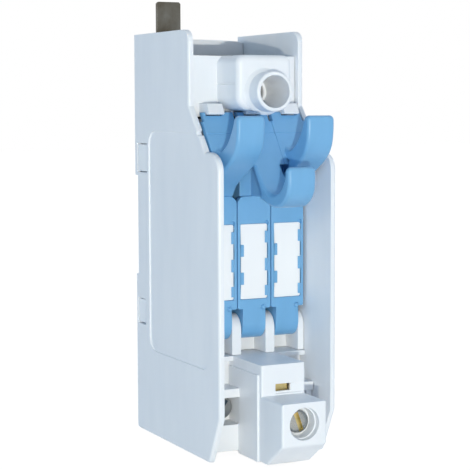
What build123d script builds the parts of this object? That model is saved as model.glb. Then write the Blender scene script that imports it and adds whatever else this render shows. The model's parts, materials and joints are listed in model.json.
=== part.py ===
"""Neutral disconnect terminal with three pull-down levers, for a 35 mm top-hat rail.

Millimetres. +X is to the right, -Y is the front that carries the levers, +Z is up. The part stands on the
lower edges of its two side covers, and the origin is the centre of its footprint at floor level.
Depths are given as distances forward of the rear face, which lies on the rail; y_at() turns them into Y.
"""
import os

from build123d import *

# Poles: three levers side by side
PITCH = 12.55
POLES = {"left": -PITCH, "middle": 0.0, "right": PITCH}
SEAM = PITCH / 2
END_GAP = 0.375

# Housing envelope
COVER_HEIGHT = 141.2
COVER_WALL = 2.0
COVER_CLEARANCE = 0.25
INNER_HALF = 1.5 * PITCH + END_GAP
WIDTH = 2 * (INNER_HALF + COVER_CLEARANCE + COVER_WALL)
REAR_WALL = 5.0
REAR_TOP = COVER_HEIGHT - 2.3
SIDE_RETURN_T = 1.3

# Rail seat for a 35 mm rail, with the sliding foot and its spring below it
RAIL_LOW = 56.2
RAIL_HIGH = 91.6
RAIL_SEAT_DEPTH = 2.4
LIP_DEPTH = 1.1
LIP_OVERLAP = 1.3
FOOT_HALF = 7.0
FOOT_LOW = 3.6
TONGUE = 1.0
SPRING_LOW = 30.3
SPRING_HIGH = 45.7
SPRING_HALF = 2.0
SPRING_WIRE = 0.55
SPRING_ROWS = 8

# Side covers
COVER_TOP_FRONT = 46.5
COVER_FRONT = 69.2
COVER_FOOT_FRONT = 61.4
COVER_NOSE_LOW = 15.5
COVER_NOSE_HIGH = 95.2
NOTCH_FRONT = 54.4
NOTCH_Z = 106.6
COVER_EDGE_R = 0.9
PANEL_DEPTH = 0.6
PANEL_CORNER_R = 5.0
LATCH_WINDOWS = [(1.8, 10.8, 92.7, 103.0), (1.5, 8.7, 38.5, 47.7)]
LATCH_GAP = 0.4
LATCH_PROUD = 2.0
LATCH_TIP = 0.8

# Lever pivot and lever plate
PIVOT_DEPTH = 46.4
PIVOT_Z = 43.4
HUB_R = 5.5
TRUNNION_R = 2.2
TRUNNION_CLEARANCE = 0.05
PLATE_FRONT = PIVOT_DEPTH + HUB_R
PLATE_T = 2.2
LEVER_GAP = 0.35
LEVER_HALF = (PITCH - LEVER_GAP) / 2
HUB_STEP_Z = PIVOT_Z + 5.0
LEVER_TOP = 114.0
PLATE_TOP = LEVER_TOP - 27.8
HOOK_HALF = LEVER_HALF - 1.2
RAKE = 0.70
RAKE_FRONT = PLATE_FRONT - 1.9
WEB_T = 1.6

# Finger pulls, as (forward of the plate, below the top of the lever)
SIDE_CHANNEL = [(3.0, 7.0), (4.7, 10.1), (8.7, 12.4), (12.9, 11.1), (17.9, 6.1), (20.3, 1.0)]
SIDE_OUTSIDE = [(23.2, 1.0), (23.1, 7.1), (21.5, 12.2), (16.9, 16.4), (8.6, 21.0), (0.0, 26.8)]
SIDE_POCKET = [(-1.0, 24.8), (4.1, 21.6), (9.6, 18.4), (10.5, 15.8), (6.7, 14.2), (3.5, 11.6), (-1.0, 8.1)]
MIDDLE_CHANNEL = [(10.7, 18.0), (14.6, 22.4), (18.6, 25.3), (23.7, 25.8), (28.3, 23.6), (30.4, 20.2),
                  (30.7, 17.0)]
MIDDLE_OUTSIDE = [(33.4, 17.0), (33.6, 22.1), (32.4, 26.0), (29.6, 28.6), (25.7, 30.0), (19.5, 29.6),
                  (13.7, 27.8)]
MIDDLE_POCKET = [(-1.0, 27.8), (13.7, 27.8), (15.0, 26.4), (12.7, 22.8), (8.1, 17.4), (0.5, 7.6), (-1.0, 7.6)]
PULL_EDGE_R = 1.1
PULL_CHANNEL_R = 1.2
PULL_CORNER_R = 1.5
RAKE_FOOT = 17.0

# Label pocket in each lever
LABEL_W = 2 * LEVER_HALF - 2.2
LABEL_LOW = 51.7
LABEL_HIGH = 76.8
LABEL_T = 0.8
POCKET_DEPTH = 1.3
POCKET_CLEARANCE = 0.08

# Bearing fins between the lever hubs
FIN_HALF = 1.7
FIN_FRONT = PIVOT_DEPTH + 4.8
FIN_TOP = PIVOT_Z + 3.2
FIN_LOW = 33.0
FIN_CORNER_R = 5.3
HUB_HALF = SEAM - FIN_HALF - 0.325
TRUNNION_REACH = HUB_HALF + 1.35
END_FIN_HALF = PITCH + HUB_HALF + 0.15

# Current path
COPPER_T = 1.5
STRIP_HALF = 2.75
CONTACT_GAP = 0.05
LEAF_T = 0.8
BUS_FRONT = 11.9
BUS_LOW = 90.0
BUS_HIGH = COVER_HEIGHT - 7.2
BUS_HALF = INNER_HALF - 1.7
TAB_WIDTH = 8.9
TAB_CENTRE = TAB_WIDTH / 2 - BUS_HALF
TAB_TOP = 152.3
JAW_LOW = 92.6
JAW_HIGH = 101.2
TERMINAL_LOW = 104.0

# Lift clamps
THREAD_R = 2.9
THREAD_CLEARANCE = 0.06
CAGE_HALF = SEAM - 2.075
CAGE_WALL = 1.1
CAGE_FRONT_WALL = 2.0
CAGE_HEIGHT = 8.0
CAGE_TRAVEL = 4.0
SCREW_SPACE = 3.0
WIRE_SPACE = 4.5
HEAD_R = CAGE_HALF - 0.2
MIDDLE_HEAD_R = 4.5
HEAD_H = 3.2
HEAD_CLEARANCE = 0.35
LEDGE_T = 1.5
CLEAR = 0.3
LEDGE_REACH = SCREW_SPACE + CAGE_FRONT_WALL + CAGE_TRAVEL + CLEAR + LEDGE_T
HEAD_REACH = LEDGE_REACH + CLEAR + HEAD_H
TOP_CLAMP_Z = 120.7
LOW_CLAMP_Z = 15.9
TOP_PLATE_FRONT = 44.5
TOP_BAR_FRONT = TOP_PLATE_FRONT - 8.7
SIDE_BAR_FRONT = PIVOT_DEPTH - 8.4
MIDDLE_BAR_FRONT = 70.2

# Lower front moulding
HEAD_RECESS = 2.5
DEPTH = MIDDLE_BAR_FRONT + HEAD_REACH + HEAD_RECESS
BLOCK_HALF = SEAM + 1.725
BLOCK_WALL = 1.9
BLOCK_ROOF = 1.1
BLOCK_FRONT_WALL = 2.2
BOX_FRONT = MIDDLE_BAR_FRONT + 2.5
NOSE_REACH = 10.8
FACE_LOW = 8.8
LEDGE_Z = 22.75
BLOCK_TOP = 32.9
PAD_PROUD = 0.7
PAD_FRONT = BOX_FRONT - 1.7
PAD_TOP = 29.6
DRIVER_BORE_R = 5.25
WINDOW_LOW = 24.0
WINDOW_HIGH = 26.5
WINDOW_HALF = STRIP_HALF + 0.15
BAY_FRONT = 57.0
BAY_HALF = CAGE_HALF + 0.25
BAY_LOW = 10.9
BAY_HIGH = 20.2
SHELF_TOP = 23.1

# Upper front moulding
TOP_HOOD_FRONT = TOP_PLATE_FRONT + 15.5
TOP_HOOD_HALF = 10.0
TOP_HOOD_LOW = 114.6
TOP_HOOD_HIGH = 132.6
TOP_HOOD_WALL = 1.8
TOP_HOOD_EDGE_R = 2.0
TUBE_FRONT = TOP_HOOD_FRONT + 7.1
TUBE_R = DRIVER_BORE_R + 1.25
TUBE_LIP_R = 0.6
CATCH_CENTRE = PITCH + 1.35
CATCH_HALF = 2.8
CATCH_LOW = LEVER_TOP - 0.7


def y_at(depth):
    return DEPTH / 2 - depth


def block(x0, x1, d0, d1, z0, z1):
    """Box between two X values, two depths and two heights."""
    middle = ((x0 + x1) / 2, (y_at(d0) + y_at(d1)) / 2, (z0 + z1) / 2)
    return Pos(*middle) * Box(abs(x1 - x0), abs(d1 - d0), abs(z1 - z0))


def side_face(runs, x):
    """Side view at an X value from runs of (depth, z) points: two make a line, more a smooth curve."""
    edges = []
    for run in runs:
        points = [(y_at(d), z) for d, z in run]
        edges.append(Line(*points) if len(points) == 2 else Spline(*points))
    return Plane.YZ.offset(x) * make_face(edges)


def side_prism(points, x0, x1):
    """Prism of a side view given as (depth, z) points, between two X values."""
    outline = Polyline(*[(y_at(d), z) for d, z in points], close=True)
    face = Plane.YZ.offset(x0) * make_face(outline)
    return extrude(face, amount=x1 - x0)


def rod_x(depth, z, radius, x0, x1):
    """Cylinder lying along X."""
    return Pos((x0 + x1) / 2, y_at(depth), z) * Rot(0, 90, 0) * Cylinder(radius, abs(x1 - x0))


def rod_y(x, z, radius, d0, d1):
    """Cylinder lying along the depth."""
    return Pos(x, (y_at(d0) + y_at(d1)) / 2, z) * Rot(90, 0, 0) * Cylinder(radius, abs(d1 - d0))


def runs_along(edge, axis):
    """Whether an edge is a straight line along X, Y or Z."""
    return edge.geom_type == GeomType.LINE and abs(getattr(edge.tangent_at(0.5), axis)) > 0.99


def at_depth(edge, depth):
    """Whether the middle of an edge lies at a depth."""
    return abs(edge.center().Y - y_at(depth)) < 0.01


def round_edges(solid, radius, pick):
    """Fillet the edges that pick() keeps."""
    edges = [edge for edge in solid.edges() if pick(edge)]
    return fillet(edges, radius) if edges else solid


def break_edges(solid, size, pick):
    """Chamfer the edges that pick() keeps."""
    edges = [edge for edge in solid.edges() if pick(edge)]
    return chamfer(edges, size) if edges else solid


def cover_runs():
    """Side view of a cover: raked foot, rounded nose, notched upper edge and rail seat."""
    nose = [
        (COVER_FRONT, COVER_NOSE_HIGH), (COVER_FRONT - 1.0, COVER_NOSE_HIGH + 3.1),
        (COVER_FRONT - 4.0, COVER_NOSE_HIGH + 5.3), (COVER_FRONT - 10.3, COVER_NOSE_HIGH + 5.9),
    ]
    crown = [
        (COVER_TOP_FRONT, COVER_HEIGHT - 4.2), (COVER_TOP_FRONT - 1.3, COVER_HEIGHT - 1.3),
        (COVER_TOP_FRONT - 4.2, COVER_HEIGHT),
    ]
    corners = [
        nose[-1], (NOTCH_FRONT, NOTCH_Z), (NOTCH_FRONT - 1.2, NOTCH_Z - 0.2),
        (NOTCH_FRONT - 2.0, NOTCH_Z + 1.1), (NOTCH_FRONT - 1.3, NOTCH_Z + 1.7),
        (COVER_TOP_FRONT, NOTCH_Z + 9.5), crown[0],
    ]
    rear = [
        crown[-1], (0, COVER_HEIGHT), (0, RAIL_HIGH), (RAIL_SEAT_DEPTH, RAIL_HIGH),
        (RAIL_SEAT_DEPTH, RAIL_LOW), (0, RAIL_LOW), (0, 0), (COVER_FOOT_FRONT, 0),
        (COVER_FRONT, COVER_NOSE_LOW), nose[0],
    ]
    lines = [[a, b] for a, b in zip(corners, corners[1:])] + [[a, b] for a, b in zip(rear, rear[1:])]
    return [nose, crown] + lines


def side_cover(side):
    """Left (side = -1) or right (side = 1) cover, with latch windows and a sunk marking panel."""
    outer = side * WIDTH / 2
    inner = side * (WIDTH / 2 - COVER_WALL)
    low, high = min(outer, inner), max(outer, inner)
    cover = extrude(side_face(cover_runs(), low), amount=high - low)
    cover = round_edges(cover, 1.5, lambda e: runs_along(e, "X") and abs(e.center().Z) < 0.01)
    front_edges = [
        edge for edge in cover.edges()
        if abs(edge.center().X - outer) < 0.01 and edge.center().Y < y_at(COVER_TOP_FRONT - 1.0)
        and edge.length > 5 and edge.center().Z > 1
    ]
    cover = fillet(front_edges, COVER_EDGE_R)
    for d0, d1, z0, z1 in LATCH_WINDOWS:
        cover -= block(low - 1, high + 1, d0, d1, z0, z1)
    return cover - marking_panel(outer - side * PANEL_DEPTH, outer + side)


def marking_panel(x0, x1):
    """Round-cornered field sunk into the outside of a cover."""
    rear, front = 12.3, COVER_FRONT - 7.9
    low, high = 30.2, NOTCH_Z + 0.8
    corners = [(rear, low), (front, low), (front, COVER_NOSE_HIGH - 1.2), (front - 11.8, high), (rear, high)]
    face = make_face(Polyline(*[(y_at(d), z) for d, z in corners], close=True))
    face = fillet(face.vertices(), PANEL_CORNER_R)
    field = Plane.YZ.offset(min(x0, x1)) * face
    return extrude(field, amount=abs(x1 - x0))


def base_frame():
    """Rear moulding: rail seat, foot guide, partitions, bearing fins and latch ramps."""
    rear = block(-INNER_HALF, INNER_HALF, 0, REAR_WALL, 1.6, REAR_TOP)
    crown = Pos(0, y_at(REAR_WALL / 2), REAR_TOP) * scale(
        Rot(90, 0, 0) * Cylinder(INNER_HALF, REAR_WALL), by=(1, 1, 0.045))
    frame = rear + crown
    frame -= block(-30, 30, -1, RAIL_SEAT_DEPTH, RAIL_LOW, RAIL_HIGH)
    frame += block(-15, 15, 0, LIP_DEPTH, RAIL_HIGH - LIP_OVERLAP, RAIL_HIGH + 0.5)
    # guide channel and spring pocket of the rail foot
    channel = FOOT_HALF + CLEAR
    frame -= block(-channel, channel, -1, RAIL_SEAT_DEPTH + 0.1, -1, RAIL_LOW + 0.5)
    frame -= block(-channel - TONGUE, channel + TONGUE, LIP_DEPTH, RAIL_SEAT_DEPTH + 0.1, -1, RAIL_LOW + 0.5)
    pocket = SPRING_HALF + 0.7
    frame -= block(-pocket, pocket, -1, 4.4, SPRING_LOW - CLEAR, SPRING_HIGH + 0.7)
    for side in (-1, 1):
        inner = side * (INNER_HALF - SIDE_RETURN_T)
        outer = side * INNER_HALF
        frame += block(inner, outer, REAR_WALL - 0.1, 12.5, FIN_LOW + 0.2, 111.0)
        for window in LATCH_WINDOWS:
            frame += latch_ramp(side, window)
        # partition between two poles, slotted where the bus bar crosses
        x = side * SEAM
        wall = block(x - 0.8, x + 0.8, REAR_WALL - 0.1, PIVOT_DEPTH - 2.2, FIN_LOW, LEVER_TOP - 2.5)
        wall -= block(x - 2, x + 2, BUS_FRONT - COPPER_T - CLEAR, BUS_FRONT + CLEAR, BUS_LOW - 2, 120)
        frame += wall
        frame += bearing_fin(x - FIN_HALF, x + FIN_HALF)
        frame += bearing_fin(side * END_FIN_HALF, side * INNER_HALF)
    for centre in POLES.values():
        reach = TRUNNION_REACH + 0.15
        frame -= rod_x(PIVOT_DEPTH, PIVOT_Z, TRUNNION_R + TRUNNION_CLEARANCE, centre - reach, centre + reach)
    # floor below the partitions, and the cross wall that hides the contacts behind the hubs
    frame += block(-INNER_HALF, INNER_HALF, REAR_WALL - 0.1, PIVOT_DEPTH - 11.9, FIN_LOW, FIN_LOW + 1.6)
    wall_front = PIVOT_DEPTH - 3.9
    frame += block(-INNER_HALF, INNER_HALF, wall_front - COPPER_T, wall_front, FIN_LOW, PIVOT_Z - 4.9)
    return frame


def latch_ramp(side, window):
    """Snap ramp in a latch window of a side cover: proud at the rear, sloping in towards the front."""
    d0, d1, z0, z1 = window
    root = side * INNER_HALF
    rear, front = y_at(d0 + LATCH_GAP), y_at(d1 - LATCH_GAP)
    points = [(root - side * 0.2, rear), (root + side * LATCH_PROUD, rear), (root + side * LATCH_TIP, front),
              (root - side * 0.2, front)]
    face = Plane.XY.offset(z0 + LATCH_GAP) * make_face(Polyline(*points, close=True))
    return extrude(face, amount=z1 - z0 - 2 * LATCH_GAP, dir=(0, 0, 1))


def bearing_fin(x0, x1):
    """Upright fin that carries a lever trunnion on each side; its upper front corner is well rounded."""
    low, high = min(x0, x1), max(x0, x1)
    rear = PIVOT_DEPTH - 16.4
    fin = side_prism([(rear, FIN_LOW), (FIN_FRONT, FIN_LOW), (FIN_FRONT, FIN_TOP), (rear + 8, FIN_TOP),
                      (rear, FIN_TOP + 10)], low, high)
    return round_edges(fin, FIN_CORNER_R, lambda e: runs_along(e, "X") and at_depth(e, FIN_FRONT)
                       and abs(e.center().Z - FIN_TOP) < 0.01)


def clamp_cage(x, z, bar_front):
    """Steel lift cage, open above and below so that bar and conductor pass through it."""
    back = bar_front - COPPER_T - WIRE_SPACE - CAGE_WALL
    front = bar_front + SCREW_SPACE + CAGE_FRONT_WALL
    cage = block(x - CAGE_HALF, x + CAGE_HALF, back, front, z - CAGE_HEIGHT / 2, z + CAGE_HEIGHT / 2)
    cage = round_edges(cage, 0.8, lambda e: runs_along(e, "Z"))
    inner = CAGE_HALF - CAGE_WALL
    cage -= block(x - inner, x + inner, back + CAGE_WALL, front - CAGE_FRONT_WALL, z - 20, z + 20)
    cage -= rod_y(x, z, THREAD_R + THREAD_CLEARANCE, front - CAGE_FRONT_WALL - 1, front + 1)
    return cage


def clamp_screw(x, z, bar_front, head_r, turn):
    """Slotted cheese-head screw that stays in place while the cage travels along it."""
    seat = bar_front + LEDGE_REACH + CLEAR
    face = seat + HEAD_H
    tip = bar_front + 0.7
    head = break_edges(rod_y(0, 0, head_r, seat, face), 0.4, lambda e: at_depth(e, face))
    shank = break_edges(rod_y(0, 0, THREAD_R, tip, seat + 0.1), 0.6, lambda e: at_depth(e, tip))
    slot = block(-0.6, 0.6, face - 1.6, face + 1, -6, 6)
    return Pos(x, 0, z) * (head + shank - Rot(0, turn, 0) * slot)


def top_hood():
    """Upper front moulding: plate, hooded clamp chamber, screwdriver tube and lever catches."""
    plate = block(-INNER_HALF, INNER_HALF, TOP_PLATE_FRONT - 2.0, TOP_PLATE_FRONT, 112.6,
                  TOP_HOOD_HIGH + 0.2)
    hood = block(-TOP_HOOD_HALF, TOP_HOOD_HALF, TOP_PLATE_FRONT - 1, TOP_HOOD_FRONT, TOP_HOOD_LOW,
                 TOP_HOOD_HIGH)
    hood = round_edges(hood, 4.6, lambda e: runs_along(e, "Y") and e.center().Z < TOP_HOOD_LOW + 1)
    hood = round_edges(hood, 2.8, lambda e: runs_along(e, "Y") and e.center().Z > TOP_HOOD_HIGH - 1)
    hood = round_edges(hood, TOP_HOOD_EDGE_R, lambda e: at_depth(e, TOP_HOOD_FRONT))
    half = TOP_HOOD_HALF - TOP_HOOD_WALL
    cavity = block(-half, half, TOP_PLATE_FRONT - 3, TOP_HOOD_FRONT - TOP_HOOD_WALL,
                   TOP_HOOD_LOW + TOP_HOOD_WALL, TOP_HOOD_HIGH - TOP_HOOD_WALL)
    cavity = break_edges(cavity, 2.6, lambda e: runs_along(e, "Y") and e.center().Z < TOP_CLAMP_Z)
    shell = plate + hood - cavity
    # screwdriver tube: a close chamber round the screw head, then the wider bore
    ledge = TOP_BAR_FRONT + LEDGE_REACH
    head = TOP_BAR_FRONT + HEAD_REACH
    tube = rod_y(0, TOP_CLAMP_Z, TUBE_R, ledge - LEDGE_T, TUBE_FRONT)
    tube = round_edges(tube, TUBE_LIP_R, lambda e: at_depth(e, TUBE_FRONT))
    root = Pos(0, y_at(TOP_HOOD_FRONT + 0.6), TOP_CLAMP_Z) * Rot(90, 0, 0) * Cone(TUBE_R + 1.2, TUBE_R, 1.3)
    shell += tube + root
    shell -= rod_y(0, TOP_CLAMP_Z, DRIVER_BORE_R, head + CLEAR, TUBE_FRONT + 1)
    shell -= rod_y(0, TOP_CLAMP_Z, HEAD_R + HEAD_CLEARANCE, ledge, head + CLEAR + 0.1)
    shell -= rod_y(0, TOP_CLAMP_Z, THREAD_R + CLEAR, ledge - LEDGE_T - 1, ledge + 1)
    for side in (-1, 1):
        # parting step halfway up the side of the hood
        edge = side * TOP_HOOD_HALF
        shell -= block(edge - 0.25, edge + 0.25, TOP_PLATE_FRONT, TOP_HOOD_FRONT - 2.5, 123.1, 123.6)
        # short returns that locate the plate between the covers, and the rib over the partition
        inner = side * (INNER_HALF - SIDE_RETURN_T)
        shell += block(inner, side * INNER_HALF, TOP_PLATE_FRONT - 6.5, TOP_PLATE_FRONT - 1, 115.0, 131.0)
        shell += block(inner, side * (SEAM + 2.7), TOP_PLATE_FRONT - 6.5, TOP_PLATE_FRONT - 1, 112.6, 114.2)
        x = side * SEAM
        shell += block(x - 0.45, x + 0.45, TOP_PLATE_FRONT - 1, RAKE_FRONT - 1.6, LEVER_TOP - 3.0,
                       LEVER_TOP + 0.7)
    for centre in (-CATCH_CENTRE, CATCH_CENTRE):
        catch = [(TOP_PLATE_FRONT - 1, CATCH_LOW), (RAKE_FRONT + 2.2, CATCH_LOW),
                 (RAKE_FRONT + 2.6, CATCH_LOW + 0.5), (RAKE_FRONT + 0.6, CATCH_LOW + 3.6),
                 (TOP_PLATE_FRONT - 1, CATCH_LOW + 3.6)]
        shell += side_prism(catch, centre - CATCH_HALF, centre + CATCH_HALF)
    shell += block(-CATCH_HALF, CATCH_HALF, TOP_PLATE_FRONT - 1, RAKE_FRONT + 1.4, CATCH_LOW,
                   TOP_HOOD_LOW + 0.2)
    return shell


def bottom_hood():
    """Lower front moulding: stepped middle terminal block between two set-back side bays."""
    back = REAR_WALL + CLEAR
    nose = DEPTH - NOSE_REACH
    core = side_prism([(back, 1.1), (nose, 1.1), (DEPTH, FACE_LOW), (DEPTH, LEDGE_Z), (BOX_FRONT, LEDGE_Z),
                       (BOX_FRONT, BLOCK_TOP), (back, BLOCK_TOP)], -BLOCK_HALF, BLOCK_HALF)
    core = round_edges(core, 1.6, lambda e: runs_along(e, "X") and e.center().Y < y_at(nose - 1)
                       and e.center().Z < FACE_LOW + 1)
    core = round_edges(core, 0.8, lambda e: abs(abs(e.center().X) - BLOCK_HALF) < 0.01
                       and e.center().Y < y_at(BOX_FRONT - 1) and e.center().Z > 1.2)
    for side in (-1, 1):
        # pad that stands proud of the rear part of each side wall
        edge = side * BLOCK_HALF
        core += block(edge - side, edge + side * PAD_PROUD, 50.0, PAD_FRONT, SHELF_TOP - 0.5, PAD_TOP)
        core += block(edge - side, edge + side * PAD_PROUD, BAY_FRONT, PAD_FRONT, 1.1, SHELF_TOP)
    inner = BLOCK_HALF - BLOCK_WALL
    floor = DEPTH - BLOCK_FRONT_WALL
    hollow = [(REAR_WALL - 1, -1), (nose - 1.6, -1), (nose - 0.6, 3.1), (floor, FACE_LOW + 1.0),
              (floor, LEDGE_Z - BLOCK_ROOF), (BOX_FRONT - BLOCK_WALL, LEDGE_Z - BLOCK_ROOF),
              (BOX_FRONT - BLOCK_WALL, BLOCK_TOP - BLOCK_WALL), (REAR_WALL - 1, BLOCK_TOP - BLOCK_WALL)]
    hood = core - side_prism(hollow, -inner, inner)
    for side in (-1, 1):
        hood += side_bay(side)
    # screw head chamber, its ledge, and the wider bore in the front face
    ledge = MIDDLE_BAR_FRONT + LEDGE_REACH
    head = MIDDLE_BAR_FRONT + HEAD_REACH
    chamber = MIDDLE_HEAD_R + HEAD_CLEARANCE
    hood += rod_y(0, LOW_CLAMP_Z, chamber + 1.05, ledge - LEDGE_T, DEPTH - 1)
    hood += block(-inner - 0.5, inner + 0.5, ledge - LEDGE_T, ledge, LOW_CLAMP_Z - 6.9, LEDGE_Z - 0.5)
    hood -= rod_y(0, LOW_CLAMP_Z, DRIVER_BORE_R, head + CLEAR, DEPTH + 1)
    hood -= rod_y(0, LOW_CLAMP_Z, chamber, ledge, head + CLEAR + 0.1)
    hood -= rod_y(0, LOW_CLAMP_Z, THREAD_R + CLEAR, ledge - LEDGE_T - 1, ledge + 1)
    # test window in the upper box, in a shallow recess that runs out to the right
    hood -= block(-WINDOW_HALF, BLOCK_HALF + 1, BOX_FRONT - 0.7, BOX_FRONT + 1, WINDOW_LOW - 0.7,
                  WINDOW_HIGH)
    hood -= block(-WINDOW_HALF, WINDOW_HALF, BOX_FRONT - BLOCK_WALL - 1, BOX_FRONT + 1, WINDOW_LOW,
                  WINDOW_HIGH)
    # slots for the three lower contacts
    for centre in POLES.values():
        hood -= block(centre - STRIP_HALF - CLEAR, centre + STRIP_HALF + CLEAR,
                      SIDE_BAR_FRONT - COPPER_T - CLEAR, SIDE_BAR_FRONT + CLEAR, 25, BLOCK_TOP + 1)
    return hood


def side_bay(side):
    """Set-back terminal bay beside the middle block: shelf, window for the clamp and lower wall."""
    back = REAR_WALL + CLEAR
    inner_x = side * (BLOCK_HALF - 0.9)
    outer_x = side * INNER_HALF
    centre = side * PITCH
    bay = block(inner_x, outer_x, back, BAY_FRONT, 2.1, SHELF_TOP)
    bay += block(inner_x, outer_x, back, BAY_FRONT + 1.0, BAY_HIGH, SHELF_TOP)
    bay += block(inner_x, outer_x, back, 48.5, BAY_HIGH, BLOCK_TOP)
    bay += block(inner_x, outer_x, back, 52.0, BLOCK_TOP - 1.6, BLOCK_TOP)
    ledge = SIDE_BAR_FRONT + LEDGE_REACH
    # hollow behind the ledge, open below for the conductor
    bay -= block(centre - BAY_HALF, centre + BAY_HALF, REAR_WALL - 1, ledge - LEDGE_T, -1, BLOCK_TOP - 1.6)
    # window in front of the ledge, and the hole for the thread
    bay -= block(centre - BAY_HALF, centre + BAY_HALF, ledge, BAY_FRONT + 2, BAY_LOW, BAY_HIGH)
    bay -= rod_y(centre, LOW_CLAMP_Z, THREAD_R + CLEAR, ledge - LEDGE_T - 1, ledge + 1)
    return bay


def raked_depth(z):
    """Depth of the front surface of the raked upper wall at a height."""
    return RAKE_FRONT + (LEVER_TOP - z) * RAKE


def lever_points(pairs):
    """(depth, z) points from (forward of the plate, below the top) pairs."""
    return [(PLATE_FRONT + forward, LEVER_TOP - drop) for forward, drop in pairs]


def finger_pull(middle):
    """Side runs of a finger pull, and the pocket moulded into each of its sides."""
    channel = lever_points(MIDDLE_CHANNEL if middle else SIDE_CHANNEL)
    outside = lever_points(MIDDLE_OUTSIDE if middle else SIDE_OUTSIDE)
    pocket = lever_points(MIDDLE_POCKET if middle else SIDE_POCKET)
    back = PLATE_FRONT - PLATE_T
    lower = (back, outside[-1][1] - (0 if middle else 3.2))
    corners = [outside[-1], lower, (back, LEVER_TOP - 8.0), (PLATE_FRONT - 4.2, LEVER_TOP),
               (RAKE_FRONT, LEVER_TOP), channel[0]]
    lines = [[a, b] for a, b in zip(corners, corners[1:])]
    return [channel, [channel[-1], outside[0]], outside] + lines, pocket


def lever(centre):
    """Pull-down lever: hub, plate with label pocket, raked upper wall and hooked finger pull."""
    middle = abs(centre) < 0.01
    runs, pocket = finger_pull(middle)
    pull = extrude(side_face(runs, centre - HOOK_HALF), amount=2 * HOOK_HALF)
    lip_z = runs[2][0][1]
    pull = round_edges(pull, PULL_CORNER_R,
                       lambda e: runs_along(e, "Y") and abs(e.center().Z - lip_z) < 0.01)
    curves = [e for e in pull.edges() if e.geom_type == GeomType.BSPLINE and e.length > 20]
    curves.sort(key=lambda e: e.bounding_box().min.Y)
    pull = fillet(curves[:2], PULL_EDGE_R)
    curves = [e for e in pull.edges() if e.geom_type == GeomType.BSPLINE and e.length > 15]
    curves.sort(key=lambda e: -e.bounding_box().min.Y)
    pull = fillet(curves[:2], PULL_CHANNEL_R)
    # a pocket in each side leaves a thin web in the middle of the pull
    for side in (-1, 1):
        near, far = centre + side * WEB_T / 2, centre + side * 20
        pull -= side_prism(pocket, min(near, far), max(near, far))
    # the raked wall runs over the full width of the pole
    foot = LEVER_TOP - RAKE_FOOT
    left, right = centre - LEVER_HALF, centre + LEVER_HALF
    body = pull + side_prism([(PLATE_FRONT - 4.2, LEVER_TOP), (RAKE_FRONT, LEVER_TOP),
                              (raked_depth(foot), foot), (raked_depth(foot) - 2.9, foot)], left, right)
    plate = block(left, right, PLATE_FRONT - PLATE_T, PLATE_FRONT, HUB_STEP_Z, PLATE_TOP)
    plate = round_edges(plate, 2.6, lambda e: runs_along(e, "Y") and e.center().Z > PLATE_TOP - 1)
    plate = round_edges(plate, 0.7, lambda e: runs_along(e, "Y") and e.center().Z < HUB_STEP_Z + 1)
    body += plate
    # stiffening flanges behind the plate, and the hub cheeks below them
    back = PLATE_FRONT - 7.9
    for side in (-1, 1):
        inner, outer = sorted((centre + side * 3.0, centre + side * HUB_HALF))
        low = PIVOT_Z + 3.6
        body += side_prism([(back, low), (PLATE_FRONT - 1, low), (PLATE_FRONT - 1, PLATE_TOP),
                            (PLATE_FRONT - 4.2, LEVER_TOP - 9), (back + 0.4, LEVER_TOP - 9),
                            (back, LEVER_TOP - 30)], inner, outer)
        low, high = sorted((centre + side * 2.4, centre + side * HUB_HALF))
        body += rod_x(PIVOT_DEPTH, PIVOT_Z, HUB_R, low, high)
        body += block(low, high, back, PLATE_FRONT, PIVOT_Z, HUB_STEP_Z + 1)
        # grip rib that holds the contact blade
        near, far = sorted((centre + side * (COPPER_T / 2 + CONTACT_GAP), centre + side * 2.0))
        body += block(near, far, back + 1, PLATE_FRONT - 1, 52.0, LEVER_TOP - 30)
    body += hub_skin(centre)
    for side in (-1, 1):
        root, tip = sorted((centre + side * 2.4, centre + side * TRUNNION_REACH))
        body += rod_x(PIVOT_DEPTH, PIVOT_Z, TRUNNION_R, root, tip)
    body = cut_label_pocket(body, centre)
    # relief beside the upper corners, and the notch under the housing catch
    for side in (-1, 1):
        near, far = centre + side * (SEAM - 0.75), centre + side * (SEAM + 1)
        body -= block(near, far, 40, 60, LEVER_TOP - 3, LEVER_TOP + 6)
    catch = CATCH_CENTRE * (centre > 1) - CATCH_CENTRE * (centre < -1)
    notch = CATCH_HALF + CLEAR
    body -= block(catch - notch, catch + notch, 40, 60, CATCH_LOW - 0.4, LEVER_TOP + 6)
    # faint crease across the raked wall
    crease = raked_depth(LEVER_TOP - 7)
    body -= block(centre - LEVER_HALF - 1, centre + LEVER_HALF + 1, crease - 0.25, crease + 3,
                  LEVER_TOP - 7.1, LEVER_TOP - 6.7)
    pip = Pos(centre + HUB_HALF - 0.95, y_at(PLATE_FRONT), HUB_STEP_Z + 0.3) * Sphere(0.9)
    return body + pip


def hub_skin(centre):
    """Curved front wall that joins the two cheeks of a hub, open behind for the contact fork."""
    half = HUB_HALF
    skin = rod_x(PIVOT_DEPTH, PIVOT_Z, HUB_R, centre - half, centre + half)
    skin += block(centre - half, centre + half, PIVOT_DEPTH, PLATE_FRONT, PIVOT_Z, HUB_STEP_Z + 1)
    inside = HUB_R - 0.9
    skin -= rod_x(PIVOT_DEPTH, PIVOT_Z, inside, centre - 9, centre + 9)
    skin -= block(centre - 9, centre + 9, PIVOT_DEPTH - 20, PIVOT_DEPTH + 1.2, PIVOT_Z - 20, PIVOT_Z + 20)
    return skin - block(centre - 9, centre + 9, PIVOT_DEPTH - 20, PIVOT_DEPTH + inside, PIVOT_Z, PIVOT_Z + 20)


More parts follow.
